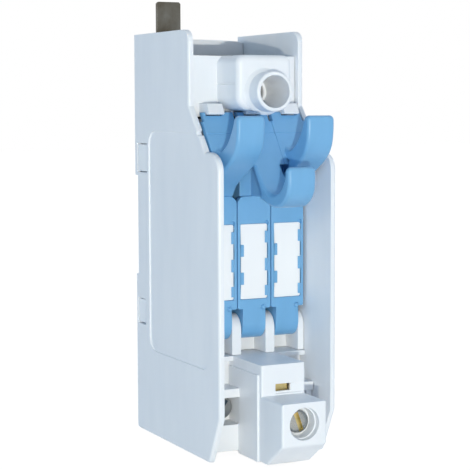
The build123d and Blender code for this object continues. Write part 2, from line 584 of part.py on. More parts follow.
def cut_label_pocket(body, centre):
    """Pocket for the label with five small retaining tabs left standing along its sides."""
    half = LABEL_W / 2 + POCKET_CLEARANCE
    body -= block(centre - half, centre + half, PLATE_FRONT - POCKET_DEPTH, PLATE_FRONT + 1,
                  LABEL_LOW - POCKET_CLEARANCE, LABEL_HIGH + POCKET_CLEARANCE)
    pick = Pos(centre + half - 0.5, y_at(PLATE_FRONT), LABEL_HIGH + 0.3) * Rot(90, 0, 0)
    body -= pick * Cylinder(0.9, 2 * POCKET_DEPTH)
    tab_front = PLATE_FRONT - 0.05
    tab_back = PLATE_FRONT - POCKET_DEPTH + LABEL_T + 2 * CONTACT_GAP
    for low, high in ((66.0, 70.0), (56.6, 60.7)):
        body += block(centre - half - 0.3, centre - half + 1.3, tab_back, tab_front, low, high)
    for low, high in ((70.4, 74.4), (61.0, 65.2), (52.6, 56.1)):
        body += block(centre + half + 0.3, centre + half - 1.0, tab_back, tab_front, low, high)
    return body


def label_plate(centre):
    """Blank white label snapped into the lever."""
    back = PLATE_FRONT - POCKET_DEPTH + CONTACT_GAP
    plate = block(centre - LABEL_W / 2, centre + LABEL_W / 2, back, back + LABEL_T, LABEL_LOW, LABEL_HIGH)
    return break_edges(plate, 0.4, lambda e: runs_along(e, "Y"))


def blade(centre):
    """Flat copper knife blade: contact disc at the pivot, arm along the lever, nose into the upper jaw."""
    half = COPPER_T / 2
    nose_low, nose_high = JAW_LOW, JAW_HIGH + 0.4
    profile = [
        (-2.0, 44.0), (1.8, 46.0), (2.0, 88.0), (-3.4, nose_high - 4.1), (-5.9, nose_high),
        (-15.4, nose_high), (-16.2, nose_high - 1.2), (-16.2, nose_low + 1.0), (-15.4, nose_low),
        (-7.0, nose_low), (-4.2, nose_low - 4.6), (-4.0, 50.0), (-4.5, 45.0),
    ]
    arm = side_prism([(PIVOT_DEPTH + forward, z) for forward, z in profile], centre - half, centre + half)
    return arm + rod_x(PIVOT_DEPTH, PIVOT_Z, 4.3, centre - half, centre + half)


def upper_jaw(centre):
    """Two spring leaves on a foot: the fixed contact that grips the nose of a blade."""
    inner = COPPER_T / 2 + CONTACT_GAP
    outer = inner + LEAF_T
    grip = PIVOT_DEPTH - 9.9
    jaw = block(centre - 3.4, centre + 3.4, BUS_FRONT, BUS_FRONT + 1.0, JAW_LOW - 0.6, JAW_HIGH + 0.4)
    for side in (-1, 1):
        x0 = centre + side * inner
        x1 = centre + side * outer
        jaw += block(x0, x1, BUS_FRONT + 0.5, grip, JAW_LOW, JAW_HIGH)
        root, tip = y_at(grip - 0.1), y_at(grip + 2.3)
        outline = Polyline((x0, root), (x1, root), (x1 + side, tip), (x0 + side, tip), close=True)
        flare = Plane.XY.offset(JAW_LOW) * make_face(outline)
        jaw += extrude(flare, amount=JAW_HIGH - JAW_LOW, dir=(0, 0, 1))
    rivet = Pos(centre + 2.4, y_at(BUS_FRONT + 1.2), 97.0) * Rot(90, 0, 0) * Cylinder(0.8, 0.7)
    return jaw + rivet


def link_bar():
    """Tinned bus bar across the three poles, with the link tab that stands out of the top."""
    back = BUS_FRONT - COPPER_T
    bar = block(-BUS_HALF, BUS_HALF, back, BUS_FRONT, BUS_LOW, BUS_HIGH)
    tab_left = TAB_CENTRE - TAB_WIDTH / 2
    tab_right = TAB_CENTRE + TAB_WIDTH / 2
    tab = block(tab_left, tab_right, back, BUS_FRONT, BUS_LOW + 10, TAB_TOP)
    tab = break_edges(tab, 0.6, lambda e: runs_along(e, "Y") and e.center().Z > TAB_TOP - 1)
    return bar + tab


def top_terminal_bar():
    """Angle that carries the current from the bus bar to the upper clamp."""
    low = TERMINAL_LOW
    foot = block(-4.0, 4.0, BUS_FRONT, BUS_FRONT + COPPER_T, low, low + 7)
    leg = block(-STRIP_HALF, STRIP_HALF, BUS_FRONT, TOP_BAR_FRONT, low, low + COPPER_T)
    post = block(-STRIP_HALF, STRIP_HALF, TOP_BAR_FRONT - COPPER_T, TOP_BAR_FRONT, low, TOP_CLAMP_Z + 8.3)
    return foot + leg + post


def lower_contact(centre):
    """Hinge fork around the blade disc, with the strip that runs down into the lower clamp."""
    bar_front = MIDDLE_BAR_FRONT if abs(centre) < 0.01 else SIDE_BAR_FRONT
    inner = COPPER_T / 2 + CONTACT_GAP
    outer = inner + LEAF_T
    left, right = centre - STRIP_HALF, centre + STRIP_HALF
    back = SIDE_BAR_FRONT - COPPER_T
    strip = block(left, right, back, SIDE_BAR_FRONT, 27.0, PIVOT_Z + 3.2)
    if bar_front > SIDE_BAR_FRONT:
        strip += block(left, right, back, bar_front, 27.0, 27.0 + COPPER_T)
    strip += block(left, right, bar_front - COPPER_T, bar_front, LOW_CLAMP_Z - 7.0, 27.0 + COPPER_T)
    for side in (-1, 1):
        x0, x1 = sorted((centre + side * inner, centre + side * outer))
        leaf = block(x0, x1, SIDE_BAR_FRONT - 1, PIVOT_DEPTH, PIVOT_Z - 1.6, PIVOT_Z + 1.6)
        leaf += rod_x(PIVOT_DEPTH, PIVOT_Z, 3.6, x0, x1)
        strip += leaf
    return strip


def rail_foot():
    """Sliding catch that grips the lower edge of the rail; it is pulled down to release."""
    top = RAIL_LOW - CLEAR
    front = RAIL_SEAT_DEPTH - 0.2
    foot = block(-FOOT_HALF, FOOT_HALF, 0.1, front, FOOT_LOW, top)
    foot += block(-FOOT_HALF - TONGUE, FOOT_HALF + TONGUE, LIP_DEPTH + CLEAR, front, FOOT_LOW, top)
    foot += block(-FOOT_HALF, FOOT_HALF, 0.1, LIP_DEPTH, 40.0, RAIL_LOW + LIP_OVERLAP)
    opening = SPRING_HALF + 1.0
    foot -= block(-opening, opening, -1, 3, SPRING_LOW - 4.3, SPRING_HIGH + 0.3)
    foot -= block(-3.2, 3.2, -1, 3, FOOT_LOW + 2.8, FOOT_LOW + 5.6)
    return foot


def rail_foot_spring():
    """Serpentine leaf that holds the catch up against the rail."""
    pitch = (SPRING_HIGH - SPRING_LOW - SPRING_WIRE) / (SPRING_ROWS - 1)
    outer = (pitch + SPRING_WIRE) / 2
    inner = (pitch - SPRING_WIRE) / 2
    reach = SPRING_HALF - outer
    shape = Sketch()
    for row in range(SPRING_ROWS):
        z = SPRING_LOW + SPRING_WIRE / 2 + row * pitch
        shape += Pos(0, z) * Rectangle(2 * reach + 0.02, SPRING_WIRE)
        if row < SPRING_ROWS - 1:
            side = 1 if row % 2 == 0 else -1
            bend = Circle(outer) - Circle(inner) - Pos(-side * outer, 0) * Rectangle(2 * outer, 4 * outer)
            shape += Pos(side * reach, z + pitch / 2) * bend
    return extrude(Plane.XZ.offset(-y_at(3.2)) * shape, amount=1.7, dir=(0, 1, 0))


def main():
    os.makedirs("parts", exist_ok=True)
    pieces = {
        "base_frame": base_frame(),
        "left_side_cover": side_cover(-1),
        "right_side_cover": side_cover(1),
        "top_hood": top_hood(),
        "bottom_hood": bottom_hood(),
        "link_bar": link_bar(),
        "top_terminal_bar": top_terminal_bar(),
        "top_clamp_cage": clamp_cage(0, TOP_CLAMP_Z, TOP_BAR_FRONT),
        "top_clamp_screw": clamp_screw(0, TOP_CLAMP_Z, TOP_BAR_FRONT, HEAD_R, 8),
        "rail_foot": rail_foot(),
        "rail_foot_spring": rail_foot_spring(),
    }
    slot_turns = {"left": 35, "middle": -22, "right": 70}
    for name, centre in POLES.items():
        bar_front = MIDDLE_BAR_FRONT if name == "middle" else SIDE_BAR_FRONT
        head_r = MIDDLE_HEAD_R if name == "middle" else HEAD_R
        pieces[name + "_lever"] = lever(centre)
        pieces[name + "_label_plate"] = label_plate(centre)
        pieces[name + "_blade"] = blade(centre)
        pieces[name + "_upper_jaw"] = upper_jaw(centre)
        pieces[name + "_lower_contact"] = lower_contact(centre)
        pieces[name + "_clamp_cage"] = clamp_cage(centre, LOW_CLAMP_Z, bar_front)
        pieces[name + "_clamp_screw"] = clamp_screw(centre, LOW_CLAMP_Z, bar_front, head_r, slot_turns[name])
    for name, shape in pieces.items():
        export_step(shape, f"parts/{name}.step")


if __name__ == "__main__":
    main()
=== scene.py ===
import json
import math

import bmesh
import bpy
from bpy.props import FloatProperty, FloatVectorProperty, IntProperty, PointerProperty
from bpy.types import Operator, Panel, PropertyGroup
from mathutils import Matrix, Vector
from mathutils.bvhtree import BVHTree

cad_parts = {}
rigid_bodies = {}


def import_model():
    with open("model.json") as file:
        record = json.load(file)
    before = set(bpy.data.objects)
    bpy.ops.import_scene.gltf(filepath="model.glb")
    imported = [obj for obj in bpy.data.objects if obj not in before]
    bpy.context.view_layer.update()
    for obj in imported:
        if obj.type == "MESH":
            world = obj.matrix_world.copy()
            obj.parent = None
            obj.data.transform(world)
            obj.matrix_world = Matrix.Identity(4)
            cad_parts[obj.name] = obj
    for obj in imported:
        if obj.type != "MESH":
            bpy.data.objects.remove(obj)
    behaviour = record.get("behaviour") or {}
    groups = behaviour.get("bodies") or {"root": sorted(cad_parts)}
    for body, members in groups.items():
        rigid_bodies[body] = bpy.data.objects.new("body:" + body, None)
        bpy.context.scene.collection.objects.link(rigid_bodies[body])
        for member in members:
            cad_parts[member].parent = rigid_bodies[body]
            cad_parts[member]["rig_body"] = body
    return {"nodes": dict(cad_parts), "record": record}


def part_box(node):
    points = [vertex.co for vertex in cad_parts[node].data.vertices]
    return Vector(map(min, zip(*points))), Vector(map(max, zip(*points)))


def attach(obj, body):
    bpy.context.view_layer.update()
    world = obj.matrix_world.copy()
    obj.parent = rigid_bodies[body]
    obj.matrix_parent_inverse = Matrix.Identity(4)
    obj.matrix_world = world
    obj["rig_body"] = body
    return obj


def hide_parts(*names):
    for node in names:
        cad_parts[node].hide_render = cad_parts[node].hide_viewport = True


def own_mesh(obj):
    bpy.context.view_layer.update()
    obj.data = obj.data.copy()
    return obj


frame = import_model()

bl_info = {
    "name": "Neutral disconnect terminal",
    "version": (1, 0, 0),
    "blender": (4, 5, 0),
    "location": "View3D > Sidebar > Terminal",
    "description": "Finishes a rail terminal block with three pull-down levers",
    "category": "Object",
}

MM = 0.001
NODES = frame["nodes"]
SLOTS = {part["node"]: part["material_slot"] for part in frame["record"]["subparts"]}
BODIES = {name: node["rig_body"] for name, node in NODES.items()}
POLES = ("left", "middle", "right")
# edges of a CAD mesh that turn by more than this are edges of the real part, not facets of a curve
REAL_EDGE = math.radians(34)
# points of a mesh that are nearer than this are one point
SAME_POINT = 0.002 * MM
FINISHES = {}


def linear(hex_colour):
    """Linear RGBA of an sRGB hex colour."""
    channels = [int(hex_colour[i:i + 2], 16) / 255 for i in (1, 3, 5)]
    curve = [c / 12.92 if c <= 0.04045 else ((c + 0.055) / 1.055) ** 2.4 for c in channels]
    return (*curve, 1.0)


def per_mm(size):
    """Noise scale whose features are about this many millimetres across."""
    return 1.0 / (size * MM)


def colour_property(name, hex_colour, description):
    """Colour setting whose default is an sRGB hex colour."""
    return FloatVectorProperty(
        name=name, description=description, subtype="COLOR", size=4, min=0, max=1,
        default=linear(hex_colour))


def length_property(name, millimetres, description):
    """Length setting whose default is given in millimetres."""
    return FloatProperty(
        name=name, description=description, default=millimetres * MM, min=0, subtype="DISTANCE",
        unit="LENGTH", precision=5)


class TerminalMouldings(PropertyGroup):
    """Plastic colours and how far the moulded edges are rounded"""
    white: colour_property("Housing white", "#F2F5F9", "Cool white of the housing mouldings")
    blue: colour_property("Lever blue", "#76B2DF", "Light blue of the pull-down levers")
    label: colour_property("Label white", "#FBFCFD", "Blank labels in the levers")
    foot: colour_property("Foot grey", "#C3C7C9", "Sliding rail foot")
    edge: length_property("Edge radius", 0.16, "Radius left on an edge by the mould")
    foot_edge: length_property("Foot edge radius", 0.12, "Radius on the edges of the rail foot")
    label_edge: length_property("Label edge radius", 0.06, "Radius on the edges of the thin labels")
    close_above: length_property("Joint height", 92.0, "Lever walls stand closer above this height")
    close_by: length_property("Joint fit", 0.16, "How far each lever wall moves towards its neighbour")
    grain: FloatProperty(
        name="Grain", description="Strength of the eroded mould grain", default=0.06, min=0, max=1)


class TerminalMetals(PropertyGroup):
    """Colours of the conductors and clamp parts"""
    tin: colour_property("Dull tin", "#6E6E69", "Tinned bar and link tab")
    tin_worn: colour_property("Worn tin", "#4B4335", "Browner patches of the tinned bar")
    copper: colour_property("Copper", "#D08A63", "Blades and spring jaws")
    brass: colour_property("Brass", "#E0C98A", "Lower contact strips and screw slots")
    nickel: colour_property("Nickel", "#A9AAA6", "Plated screw in the round hole")
    zinc: colour_property("Zinc", "#A9ABAA", "Clamp cages, the other screws and the spring")
    edge: length_property("Sheared edge", 0.12, "Radius on the edges of the thick bars and the cages")
    thin_edge: length_property("Thin edge", 0.08, "Radius on the edges of blades, jaws and strips")


class TerminalScrews(PropertyGroup):
    """Sizes of the slotted clamp screws"""
    head: length_property("Head height", 3.2, "Thickness of the cylinder head")
    shank: length_property("Thread radius", 2.9, "Outer radius of the thread")
    pitch: length_property("Thread pitch", 1.0, "Advance of the thread in one turn")
    thread: length_property("Thread depth", 0.45, "Height of the thread over its core")
    slot: length_property("Slot width", 1.6, "Width of the screwdriver slot")
    slot_length: length_property("Slot length", 6.2, "Length of the screwdriver slot")
    slot_depth: length_property("Slot depth", 1.6, "Depth of the screwdriver slot")
    seen_radius: length_property("Middle head radius", 3.7, "Head of the screw in the round hole")
    seen_sink: length_property("Middle head depth", 1.5, "How much deeper that head's face lies")
    steps: IntProperty(
        name="Steps", description="Facets round a screw head", default=64, min=12, max=128)


class TerminalStudio(PropertyGroup):
    """Light on the object"""
    key: FloatProperty(
        name="Key power", description="Small low lamp beside the camera", default=2.8, min=0,
        unit="POWER")
    key_size: length_property("Key size", 12.0, "Side of the lamp, which sets how crisp shadows are")
    distance: length_property("Key distance", 750.0, "From the object to the lamp")
    height: length_property("Key height", 40.0, "Middle of the lamp above the floor")
    azimuth: FloatProperty(
        name="Key azimuth", description="Turn of the lamp to the left of the front",
        default=math.radians(22.5), subtype="ANGLE", unit="ROTATION")
    right: colour_property("Light from the right", "#BBC9DA", "Brighter side, which also fills the bays")
    left: colour_property("Light from the left", "#7893A9", "Cool light on the wide cover")
    front: colour_property("Light from the front", "#747678", "Weak light round the lamp")
    behind: colour_property("Light from behind", "#8A929C", "Cool light on the rail side")
    around: FloatProperty(
        name="Surroundings", description="Strength of the light from all round", default=1.7, min=0)


# Materials

def add_node(tree, kind, inputs=None, **settings):
    """Adds a node, changes its settings, and sets or links its inputs, which are named or numbered."""
    node = tree.nodes.new(kind)
    for name, value in settings.items():
        setattr(node, name, value)
    for key, value in (inputs or {}).items():
        if isinstance(value, bpy.types.NodeSocket):
            tree.links.new(value, node.inputs[key])
        else:
            node.inputs[key].default_value = value
    return node


def start_material(name, **values):
    """New material with its shader's values; returns (material, tree, shader, Object coordinates)."""
    material = bpy.data.materials.new(name)
    material.use_nodes = True
    tree = material.node_tree
    tree.nodes.clear()
    shader = add_node(tree, "ShaderNodeBsdfPrincipled",
                      {key.replace("_", " "): value for key, value in values.items()})
    add_node(tree, "ShaderNodeOutputMaterial", {"Surface": shader.outputs["BSDF"]})
    return material, tree, shader, add_node(tree, "ShaderNodeTexCoord").outputs["Object"]


def moulded_polyamide(name, colour, fade, roughness, grain_mm, grain, milky):
    """Injection-moulded polyamide: satin skin with eroded grain, faint flow marks and a milky body."""
    material, tree, shader, coords = start_material(
        name, IOR=1.53, Subsurface_Weight=milky, Subsurface_Radius=(1.0, 0.9, 0.8),
        Subsurface_Scale=0.5 * MM)
    # the melt runs along the long side, so the flow marks are stretched that way
    along = add_node(tree, "ShaderNodeMapping", {"Vector": coords, "Scale": (1.0, 1.0, 0.22)})
    flow = add_node(tree, "ShaderNodeTexNoise", {
        "Vector": along.outputs[0], "Scale": per_mm(6.0), "Detail": 3.0})
    tint = add_node(tree, "ShaderNodeMapRange", {
        0: flow.outputs["Fac"], 1: 0.35, 2: 0.7, 3: 0.0, 4: 1.0})
    mix = add_node(tree, "ShaderNodeMix", {
        0: tint.outputs[0], 6: colour, 7: darker(colour, fade)}, data_type="RGBA")
    tree.links.new(mix.outputs[2], shader.inputs["Base Color"])
    gloss = add_node(tree, "ShaderNodeMapRange", {
        0: flow.outputs["Fac"], 1: 0.3, 2: 0.7, 3: roughness - 0.04, 4: roughness + 0.05})
    tree.links.new(gloss.outputs[0], shader.inputs["Roughness"])
    # the real grain is near 0.1 mm, too fine for this picture, so it is drawn coarser
    fine = add_node(tree, "ShaderNodeTexNoise", {
        "Vector": coords, "Scale": per_mm(grain_mm), "Detail": 2.0})
    # thick places sink a little as they cool, which bends the reflections slowly
    sink = add_node(tree, "ShaderNodeTexNoise", {"Vector": coords, "Scale": per_mm(9.0), "Detail": 1.0})
    slow = add_node(tree, "ShaderNodeBump", {
        "Height": sink.outputs["Fac"], "Distance": 0.12 * MM, "Strength": 0.25})
    relief = add_node(tree, "ShaderNodeBump", {
        "Height": fine.outputs["Fac"], "Distance": 0.03 * MM, "Strength": grain,
        "Normal": slow.outputs[0]})
    tree.links.new(relief.outputs[0], shader.inputs["Normal"])
    return material


def worked_metal(name, colour, fade, roughness, lines_mm, grain, stretch=(1.0, 1.0, 1.0), patch_mm=4.0,
                 patch_colour=None):
    """Metal with drawn, rolled or turned lines in its surface and darker patches that the metal took on
    with age; in the dark screw slots the colour is painted shade.
    """
    material, tree, shader, coords = start_material(name, Metallic=1.0)
    along = add_node(tree, "ShaderNodeMapping", {"Vector": coords, "Scale": stretch})
    lines = add_node(tree, "ShaderNodeTexNoise", {
        "Vector": along.outputs[0], "Scale": per_mm(lines_mm), "Detail": 3.0})
    patch = add_node(tree, "ShaderNodeTexNoise", {
        "Vector": coords, "Scale": per_mm(patch_mm), "Detail": 4.0})
    tint = add_node(tree, "ShaderNodeMapRange", {
        0: patch.outputs["Fac"], 1: 0.4, 2: 0.68, 3: 0.0, 4: 1.0})
    mix = add_node(tree, "ShaderNodeMix", {
        0: tint.outputs[0], 6: colour, 7: patch_colour or darker(colour, fade)}, data_type="RGBA")
    tree.links.new(mix.outputs[2], shader.inputs["Base Color"])
    gloss = add_node(tree, "ShaderNodeMapRange", {
        0: lines.outputs["Fac"], 1: 0.3, 2: 0.7, 3: roughness - 0.07, 4: roughness + 0.09})
    tree.links.new(gloss.outputs[0], shader.inputs["Roughness"])
    relief = add_node(tree, "ShaderNodeBump", {
        "Height": lines.outputs["Fac"], "Distance": 0.02 * MM, "Strength": grain})
    tree.links.new(relief.outputs[0], shader.inputs["Normal"])
    return material


def darker(colour, amount):
    """Colour with its strength lowered, the cool end least."""
    return (*(channel * (1 - amount * share) for channel, share in zip(colour, (1.0, 0.85, 0.7))), 1.0)


def make_materials(scene):
    """Every finish, by the record's slot name or by its own name for the parts of a screw."""
    plastic, metals = scene.terminal_mouldings, scene.terminal_metals
    drawn, across, turned = (1.0, 1.0, 0.06), (0.06, 1.0, 1.0), (1.0, 0.15, 1.0)
    return {
        # eroded mould: satin, slightly translucent, cool white
        "white_moulding": moulded_polyamide(
            "White polyamide moulding", plastic.white, 0.035, 0.40, 0.45, plastic.grain, 0.15),
        # the same resin with pigment: a touch glossier, and flow marks show in the colour
        "blue_moulding": moulded_polyamide(
            "Light blue polyamide moulding", plastic.blue, 0.07, 0.37, 0.4, plastic.grain * 1.3, 0.06),
        # card with a matt face: flat white with no gloss
        "label_white": moulded_polyamide(
            "Matt white label card", plastic.label, 0.02, 0.6, 0.25, plastic.grain * 0.5, 0.0),
        # filled resin: dull, opaque grey
        "grey_foot": moulded_polyamide(
            "Grey polyamide foot", plastic.foot, 0.05, 0.45, 0.45, plastic.grain, 0.0),
        # dull plating over rolled copper: brownish grey with darker handling patches
        "tinned_copper": worked_metal(
            "Dull tinned copper", metals.tin, 0.0, 0.34, 0.3, 0.2, drawn, 11.0, metals.tin_worn),
        # rolled and bare: warm orange with lines along the rolling and darker, browner patches
        "bare_copper": worked_metal("Rolled copper", metals.copper, 0.3, 0.3, 0.3, 0.15, drawn),
        # rolled across the strip: pale gold with fine lines
        "brass_strip": worked_metal("Rolled brass strip", metals.brass, 0.25, 0.3, 0.25, 0.2, across),
        # plated and turned: bright grey head with a slightly brushed shine
        "brass_screw": worked_metal(
            "Nickel-plated brass screw", metals.nickel, 0.2, 0.24, 0.3, 0.12, turned),
        # plated pressings: pale, a little cloudy
        "zinc_steel": worked_metal("Zinc-plated steel", metals.zinc, 0.22, 0.34, 0.4, 0.15),
        # drawn and bent: smooth grey that darkens in patches
        "spring_steel": worked_metal("Drawn spring steel", metals.zinc, 0.4, 0.3, 0.3, 0.1),
        # the saw cuts through the plating: gold walls in a grey head
        "slot_walls": worked_metal("Cut brass", metals.brass, 0.45, 0.35, 0.3, 0.1),
        # nearly black, with darker patches: painted shade in the narrow slots of the screws
        "slot_painted_shade": worked_metal(
            "Steel darkened as painted slot shade", darker(metals.zinc, 0.6), 0.0, 0.4, 0.3, 0.1, patch_colour=darker(metals.zinc, 0.8)),
    }


# Pieces

def add_piece(name, mesh, slot, body):
    """Object at the origin that rides on a body, with the finish of a material slot."""
    piece = bpy.data.objects.new(name, mesh)
    bpy.context.scene.collection.objects.link(piece)
    if not mesh.materials:
        mesh.materials.append(FINISHES[slot])
    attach(piece, body)
    return piece


def merged_mesh(node):
    """Copy of a CAD node's mesh with its loose triangles joined and its real edges marked sharp."""
    mesh = NODES[node].data.copy()
    mesh.name = node + "_mesh"
    mesh.materials.clear()
    shape = bmesh.new()
    shape.from_mesh(mesh)
    bmesh.ops.remove_doubles(shape, verts=shape.verts, dist=SAME_POINT)
    bmesh.ops.dissolve_degenerate(shape, edges=shape.edges, dist=SAME_POINT)
    for face in shape.faces:
        face.smooth = True
    for edge in shape.edges:
        edge.smooth = not (edge.is_manifold and edge.calc_face_angle(0.0) > REAL_EDGE)
    shape.to_mesh(mesh)
    shape.free()
    return mesh


def plain_mesh(source):
    """Mesh that an object's only modifier makes; the modifier and the object are removed."""
    bpy.context.view_layer.update()
    graph = bpy.context.evaluated_depsgraph_get()
    result = bpy.data.meshes.new_from_object(source.evaluated_get(graph))
    if not result.polygons:
        raise RuntimeError(f"{source.data.name} came out empty")
    source.modifiers.clear()
    bpy.data.objects.remove(source)
    return result


def rounded_mesh(mesh, edge, segments=2):
    """Mesh with rounded edges, each corner of which stays near the surface that it came from."""
    source = bpy.data.objects.new("source", mesh)
    bpy.context.scene.collection.objects.link(source)
    rounding = source.modifiers.new("Edge radius", "BEVEL")
    rounding.width = edge
    rounding.segments = segments
    rounding.limit_method = "ANGLE"
    rounding.angle_limit = REAL_EDGE
    rounding.use_clamp_overlap = False
    rounding.loop_slide = False
    surface = BVHTree.FromPolygons([vertex.co.copy() for vertex in mesh.vertices],
                                   [tuple(face.vertices) for face in mesh.polygons])
    result = plain_mesh(source)
    shape = bmesh.new()
    shape.from_mesh(result)
    # where edges meet at a slight angle the rounding throws corners far out, and they go back
    # to the surface, half way between their neighbours that stayed on it
    too_far = 0.7 * edge
    thrown = {vertex for vertex in shape.verts if surface.find_nearest(vertex.co)[3] > too_far}
    places = {}
    for vertex in thrown:
        others = [link.other_vert(vertex) for link in vertex.link_edges]
        around = [other.co for other in others if other not in thrown]
        if around:
            places[vertex] = sum(around, Vector()) / len(around)
    for vertex in thrown:
        vertex.co = surface.find_nearest(places.get(vertex, vertex.co))[0]
    bmesh.ops.dissolve_degenerate(shape, edges=shape.edges, dist=SAME_POINT)
    shape.to_mesh(result)
    shape.free()
    return result


def finish_node(node, edge, mesh=None):
    """Stands a piece with rounded edges for a CAD node."""
    mesh = mesh or merged_mesh(node)
    if edge > 0:
        mesh = rounded_mesh(mesh, edge)
    piece = add_piece("finished_" + node, mesh, SLOTS[node], BODIES[node])
    if edge > 0:
        even = piece.modifiers.new("Even normals", "WEIGHTED_NORMAL")
        even.keep_sharp = False
    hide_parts(node)
    return piece


def lathe(profile, steps):
    """Mesh turned about Z from (radius, height) points in metres, closed on the axis."""
    mesh = bpy.data.meshes.new("lathe")
    shape = bmesh.new()
    rings = []
    angles = [2 * math.pi * i / steps for i in range(steps)]
    for radius, height in profile:
        if radius == 0:
            rings.append([shape.verts.new((0, 0, height))])
        else:
            rings.append([shape.verts.new((radius * math.cos(angle), radius * math.sin(angle), height))
                          for angle in angles])
    for low, high in zip(rings, rings[1:]):
        for i in range(steps):
            j = (i + 1) % steps
            corners = [low[i % len(low)], low[j % len(low)], high[j % len(high)], high[i % len(high)]]
            unique = list(dict.fromkeys(corners))
            if len(unique) > 2:
                shape.faces.new(unique)
    bmesh.ops.recalc_face_normals(shape, faces=shape.faces)
    shape.to_mesh(mesh)
    shape.free()
    return mesh


def thread_tree():
    """Geometry nodes that cut the slot into a turned screw and wind a thread round its shank."""
    tree = bpy.data.node_groups.new("Slot and thread", "GeometryNodeTree")
    sockets = [
        ("Geometry", "NodeSocketGeometry"), ("Core radius", "NodeSocketFloat"),
        ("Thread pitch", "NodeSocketFloat"), ("Thread depth", "NodeSocketFloat"),
        ("Turns", "NodeSocketFloat"), ("Thread start", "NodeSocketFloat"),
        ("Slot size", "NodeSocketVector"), ("Slot height", "NodeSocketFloat"),
        ("Metal", "NodeSocketMaterial"), ("Slot metal", "NodeSocketMaterial"),
    ]
    for name, kind in sockets:
        tree.interface.new_socket(name, in_out="INPUT", socket_type=kind)
    tree.interface.new_socket("Geometry", in_out="OUTPUT", socket_type="NodeSocketGeometry")
    given = tree.nodes.new("NodeGroupInput").outputs
    # the slot is a box in its own metal, and the cut leaves that metal on the slot's walls
    box = add_node(tree, "GeometryNodeMeshCube", {"Size": given["Slot size"]})
    lift = add_node(tree, "ShaderNodeCombineXYZ", {2: given["Slot height"]})
    placed = add_node(tree, "GeometryNodeTransform", {
        "Geometry": box.outputs[0], "Translation": lift.outputs[0]})
    cutter = add_node(tree, "GeometryNodeSetMaterial", {
        "Geometry": placed.outputs[0], "Material": given["Slot metal"]})
    body = add_node(tree, "GeometryNodeSetMaterial", {
        "Geometry": given["Geometry"], "Material": given["Metal"]})
    cut = add_node(tree, "GeometryNodeMeshBoolean", {
        0: body.outputs[0], 1: cutter.outputs[0]}, operation="DIFFERENCE")
    # the thread is a square rod on its corner, wound on the core
    height = add_node(tree, "ShaderNodeMath", {
        0: given["Turns"], 1: given["Thread pitch"]}, operation="MULTIPLY")
    helix = add_node(tree, "GeometryNodeCurveSpiral", {
        "Resolution": 28, "Rotations": given["Turns"], "Start Radius": given["Core radius"],
        "End Radius": given["Core radius"], "Height": height.outputs[0]})
    upright = add_node(tree, "GeometryNodeSetCurveNormal", {"Curve": helix.outputs[0]}, mode="Z_UP")
    ridge = add_node(tree, "GeometryNodeCurvePrimitiveCircle", {
        "Resolution": 4, "Radius": given["Thread depth"]})
    swept = add_node(tree, "GeometryNodeCurveToMesh", {
        "Curve": upright.outputs[0], "Profile Curve": ridge.outputs[0], "Fill Caps": True})
    start = add_node(tree, "ShaderNodeCombineXYZ", {2: given["Thread start"]})
    wound = add_node(tree, "GeometryNodeTransform", {
        "Geometry": swept.outputs[0], "Translation": start.outputs[0]})
    both = add_node(tree, "GeometryNodeJoinGeometry", {0: cut.outputs[0]})
    tree.links.new(wound.outputs[0], both.inputs[0])
    real = add_node(tree, "GeometryNodeRealizeInstances", {"Geometry": both.outputs[0]})
    slot = add_node(tree, "GeometryNodeMaterialSelection", {"Material": given["Slot metal"]})
    rest = add_node(tree, "FunctionNodeBooleanMath", {0: slot.outputs[0]}, operation="NOT")
    done = add_node(tree, "GeometryNodeSetMaterial", {
        "Geometry": real.outputs[0], "Selection": rest.outputs[0], "Material": given["Metal"]})
    add_node(tree, "NodeGroupOutput", {"Geometry": done.outputs[0]})
    return tree


def baked(mesh, tree, values):
    """Plain mesh that a geometry nodes tree makes of a mesh with these named inputs."""
    source = bpy.data.objects.new("source", mesh)
    bpy.context.scene.collection.objects.link(source)
    modifier = source.modifiers.new("Nodes", "NODES")
    modifier.node_group = tree
    sockets = {item.name: item.identifier for item in tree.interface.items_tree
               if item.in_out == "INPUT"}
    for name, value in values.items():
        modifier[sockets[name]] = value
    return plain_mesh(source)


def screw_piece(pole, tree, turn, metal, slot_metal, head_radius=None, sink=0.0):
    """Turned, slotted and threaded screw for a CAD screw; sink lowers the face of its head."""
    sizes = bpy.context.scene.terminal_screws
    node = pole + "_clamp_screw"
    low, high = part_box(node)
    radius = head_radius or (high[0] - low[0]) / 2
    head = sizes.head - sink
    length = high[1] - low[1] - sink
    core = sizes.shank - sizes.thread
    under = head - length
    tip, fillet, rim, plain_shank = 0.6 * MM, 0.2 * MM, 0.6 * MM, 1.6 * MM
    # from the tip of the shank to the middle of the head, whose rim is rounded in three steps
    profile = [(0, under), (core - tip, under), (core, under + tip), (core, -tip), (core + fillet, 0),
               (radius - fillet, 0), (radius, fillet), (radius, head - rim),
               (radius - 0.15 * MM, head - 0.25 * MM), (radius - 0.55 * MM, head - 0.08 * MM),
               (radius * 0.5, head), (0, head)]
    turned = lathe(profile, sizes.steps)
    mesh = baked(turned, tree, {
        "Core radius": core - 0.02 * MM, "Thread pitch": sizes.pitch, "Thread depth": sizes.thread,
        "Turns": (length - head - plain_shank) / sizes.pitch, "Thread start": under + 0.5 * MM,
        "Slot size": (sizes.slot, sizes.slot_length, 2 * min(sizes.slot_depth, head * 0.6)),
        "Slot height": head, "Metal": FINISHES[metal], "Slot metal": FINISHES[slot_metal]})
    mesh.name = node + "_turned"
    middle = Vector(((low[0] + high[0]) / 2, low[1] + sizes.head, (low[2] + high[2]) / 2))
    stand = Matrix.Rotation(math.radians(90), 4, "X")
    mesh.transform(Matrix.Translation(middle) @ stand @ Matrix.Rotation(math.radians(turn), 4, "Z"))
    mesh.shade_smooth()
    mesh.set_sharp_from_angle(angle=math.radians(38))
    piece = add_piece("turned_" + node, mesh, metal, BODIES[node])
    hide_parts(node)
    return piece


